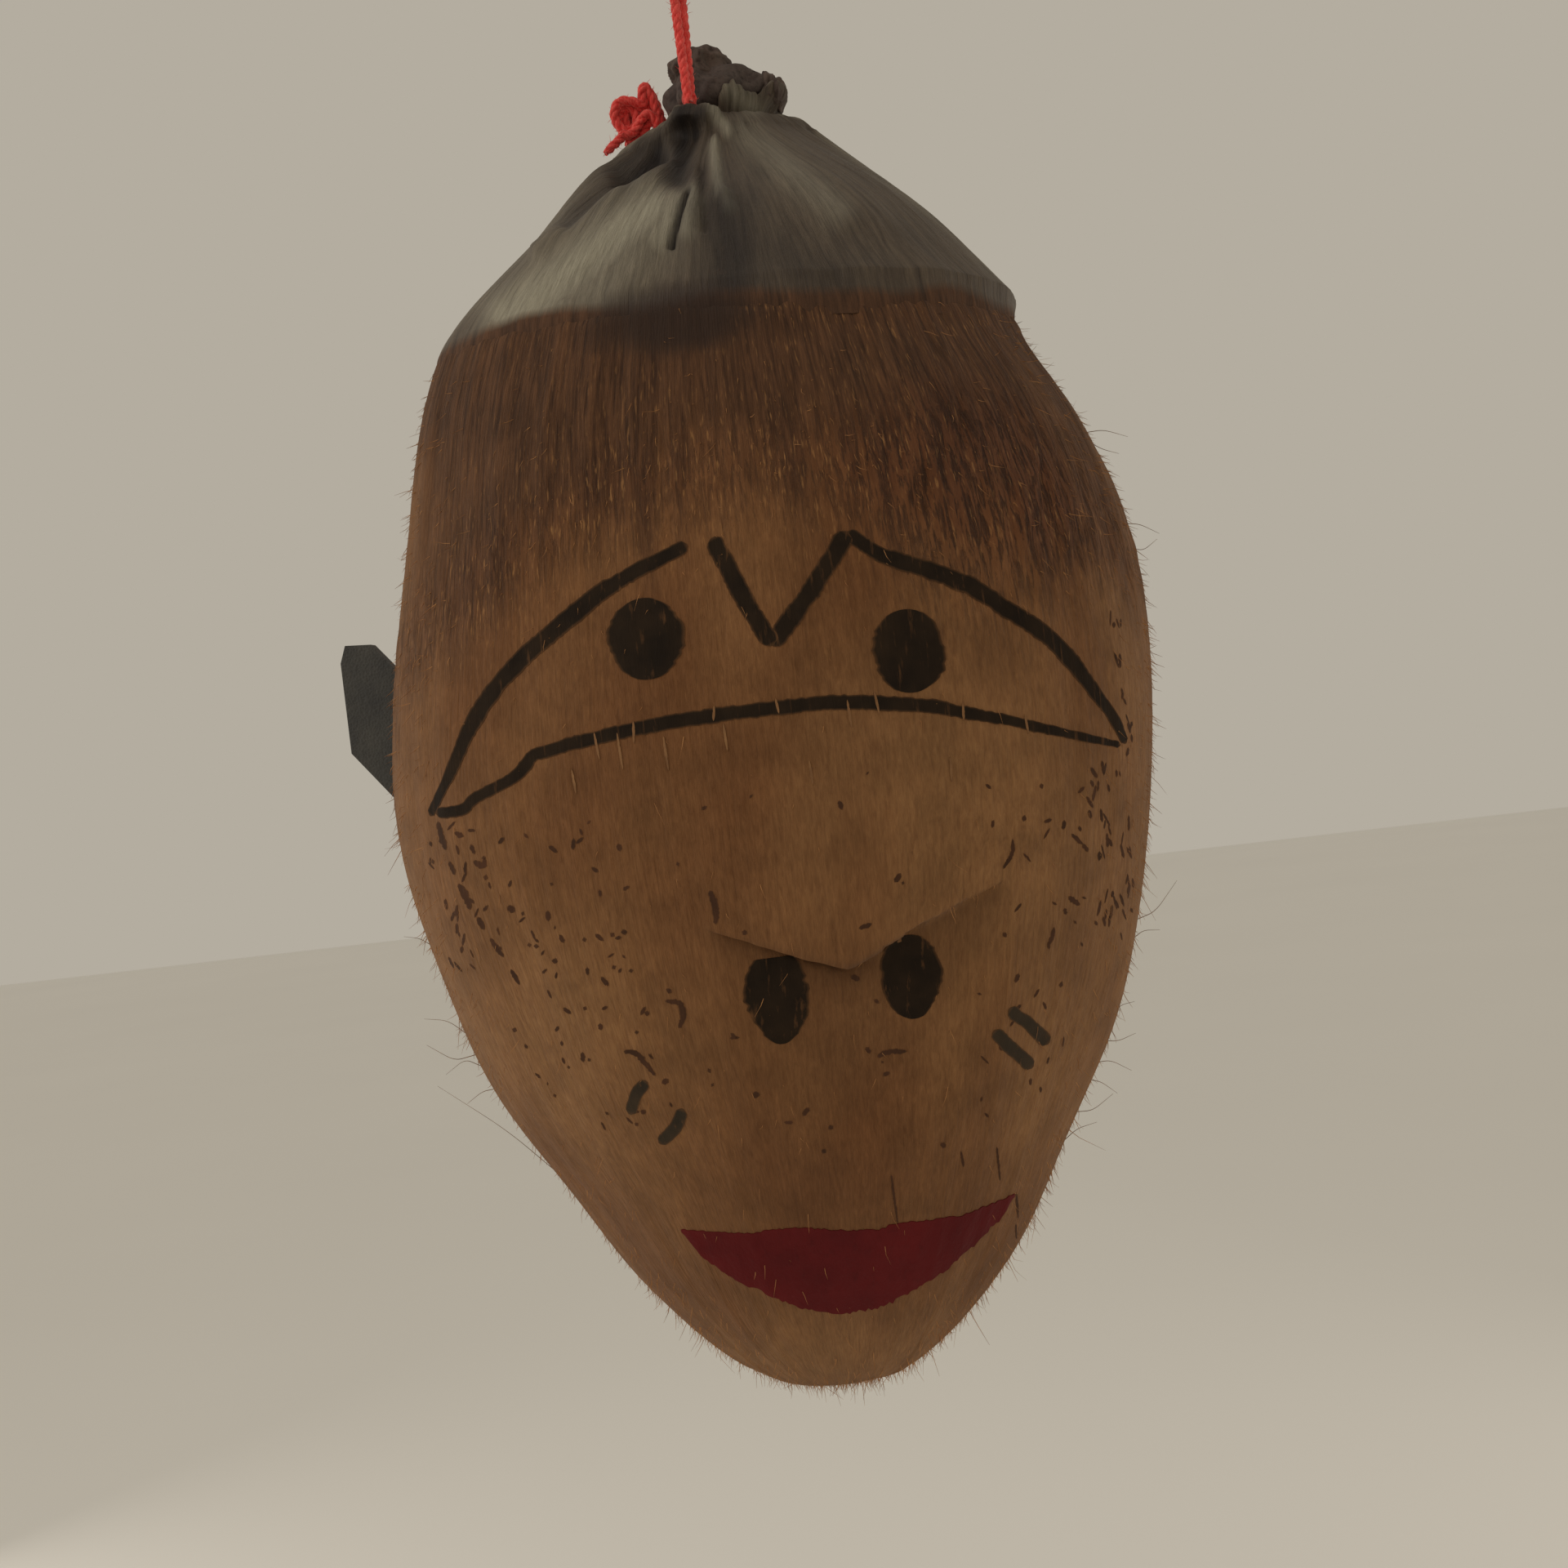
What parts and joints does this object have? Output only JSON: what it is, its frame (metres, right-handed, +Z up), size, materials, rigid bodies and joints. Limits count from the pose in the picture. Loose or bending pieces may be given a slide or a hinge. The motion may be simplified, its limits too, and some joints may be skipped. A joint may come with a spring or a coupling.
{
  "type": "coconut monkey head puppet",
  "caption": "Monkey head made from a whole coconut in its husk, with a drawn and painted face and foam ears, hung on a doubled yarn.",
  "frame": {"origin": "inside top of the hanging loop, where a nail bears", "axes": "+Z up along the hanging cord, the face looks towards -Y, +X is to the right of a viewer who faces it"},
  "size_m": [0.1632, 0.1363, 0.3125],
  "materials": {
    "coir_husk": "matte",
    "husk_skin": "satin",
    "stem_wood": "matte",
    "hard_shell": "satin",
    "dried_kernel": "matte",
    "craft_foam": "matte",
    "glue": "satin",
    "yarn": "matte",
    "marker_ink": "matte",
    "red_paint": "matte"
  },
  "bodies": {
    "hanging_loop": {"hanging_loop": "yarn"},
    "loop_knot": {"loop_knot": "yarn"},
    "cord": {"cord": "yarn"},
    "cord_turn": {"cord_turn": "yarn"},
    "cord_run": {"cord_run": "yarn"},
    "head": {"husk": "coir_husk", "skin_cap": "husk_skin", "stem_stub": "stem_wood", "calyx_lobe_left": "stem_wood", "calyx_lobe_right": "stem_wood", "coconut_shell": "hard_shell", "coconut_kernel": "dried_kernel", "left_ear_glue": "glue", "right_ear_glue": "glue", "brow_line_left": "marker_ink", "brow_notch": "marker_ink", "brow_line_right": "marker_ink", "mask_line": "marker_ink", "left_eye": "marker_ink", "right_eye": "marker_ink", "left_nostril": "marker_ink", "right_nostril": "marker_ink", "cheek_marks_left": "marker_ink", "cheek_marks_right": "marker_ink", "mouth_paint": "red_paint", "stopper_knot": "yarn", "knot_tail": "yarn"},
    "left_ear": {"left_ear": "craft_foam"},
    "right_ear": {"right_ear": "craft_foam"}
  },
  "joints": [
    {"name": "swing_fore_aft", "type": "hinge", "parent": "hanging_loop", "child": "loop_knot", "pos_m": [0, 0, -0.019], "axis": [1, 0, 0], "range_deg": [-45, 45]},
    {"name": "swing_sideways", "type": "hinge", "parent": "loop_knot", "child": "cord", "pos_m": [0, 0, -0.019], "axis": [0, 1, 0], "range_deg": [-45, 45]},
    {"name": "spin_on_cord", "type": "hinge", "parent": "cord", "child": "cord_turn", "pos_m": [0, 0, -0.06], "axis": [0, 0, 1], "range_deg": [-180, 180]},
    {"name": "head_nod", "type": "hinge", "parent": "cord_turn", "child": "cord_run", "pos_m": [0, 0, -0.06], "axis": [1, 0, 0], "range_deg": [-25, 4]},
    {"name": "head_tilt", "type": "hinge", "parent": "cord_run", "child": "head", "pos_m": [0, 0, -0.06], "axis": [-0.3499, 0.9368, 0], "range_deg": [-18, 18]},
    {"name": "left_ear_flex", "type": "hinge", "parent": "head", "child": "left_ear", "pos_m": [-0.06877, 0.0138, -0.179], "axis": [-0.0086, 0.0017, 1], "range_deg": [-35, 35], "stiffness_Nm_per_rad": 0.002},
    {"name": "right_ear_flex", "type": "hinge", "parent": "head", "child": "right_ear", "pos_m": [0.06461, 0.03376, -0.179], "axis": [0.0378, 0.0218, 0.999], "range_deg": [-35, 35], "stiffness_Nm_per_rad": 0.002}
  ]
}
